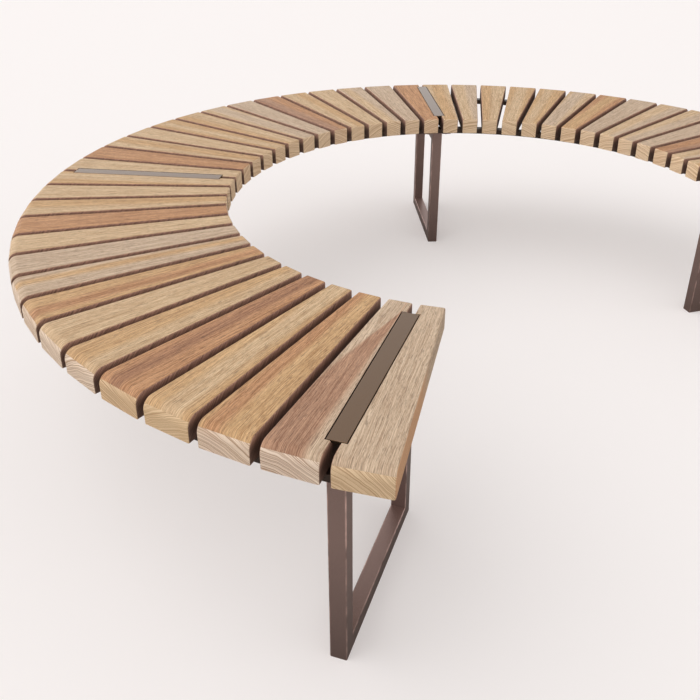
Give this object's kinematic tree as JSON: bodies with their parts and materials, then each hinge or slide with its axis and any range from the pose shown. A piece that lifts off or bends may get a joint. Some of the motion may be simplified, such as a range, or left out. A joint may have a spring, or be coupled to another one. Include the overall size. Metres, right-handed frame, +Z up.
{
  "type": "modular park bench",
  "caption": "C-shaped ring bench without a back: radial hardwood slats on rolled steel rails and slim upright loop legs, with metal strips let in flush above the legs.",
  "frame": {"origin": "on the ground under the middle of the plan", "axes": "+Z up from the ground, +Y towards the middle of the arc and away from the open mouth, +X along the mouth, so the two halves mirror across X = 0"},
  "size_m": [2.2218, 1.7118, 0.45],
  "materials": {
    "pale_slat": "oiled pale hardwood, satin",
    "golden_slat": "oiled golden hardwood, satin",
    "red_slat": "oiled reddish hardwood, satin",
    "frame_metal": "bronze powder coat, fine satin"
  },
  "bodies": {
    "root": {"slat_01": "pale_slat", "slat_02": "red_slat", "slat_03": "golden_slat", "slat_04": "golden_slat", "slat_05": "red_slat", "slat_06": "pale_slat", "slat_07": "pale_slat", "slat_08": "pale_slat", "slat_09": "red_slat", "slat_10": "golden_slat", "slat_11": "golden_slat", "slat_12": "red_slat", "slat_13": "pale_slat", "slat_14": "pale_slat", "slat_15": "pale_slat", "slat_16": "red_slat", "slat_17": "golden_slat", "slat_18": "golden_slat", "slat_19": "red_slat", "slat_20": "pale_slat", "slat_21": "pale_slat", "slat_22": "pale_slat", "slat_23": "red_slat", "slat_24": "golden_slat", "slat_25": "golden_slat", "slat_26": "red_slat", "slat_27": "pale_slat", "slat_28": "pale_slat", "slat_29": "pale_slat", "slat_30": "red_slat", "slat_31": "golden_slat", "slat_32": "golden_slat", "slat_33": "red_slat", "slat_34": "pale_slat", "slat_35": "pale_slat", "slat_36": "pale_slat", "slat_37": "red_slat", "slat_38": "golden_slat", "slat_39": "golden_slat", "slat_40": "red_slat", "slat_41": "pale_slat", "slat_42": "pale_slat", "slat_43": "pale_slat", "slat_44": "red_slat", "inner_rail_1": "frame_metal", "inner_rail_2": "frame_metal", "inner_rail_3": "frame_metal", "outer_rail_1": "frame_metal", "outer_rail_2": "frame_metal", "outer_rail_3": "frame_metal", "leg_frame_1": "frame_metal", "leg_frame_2": "frame_metal", "leg_frame_3": "frame_metal", "leg_frame_4": "frame_metal", "inlay_bar_1": "frame_metal", "inlay_bar_2": "frame_metal", "inlay_bar_3": "frame_metal", "inlay_bar_4": "frame_metal"}
  },
  "joints": []
}
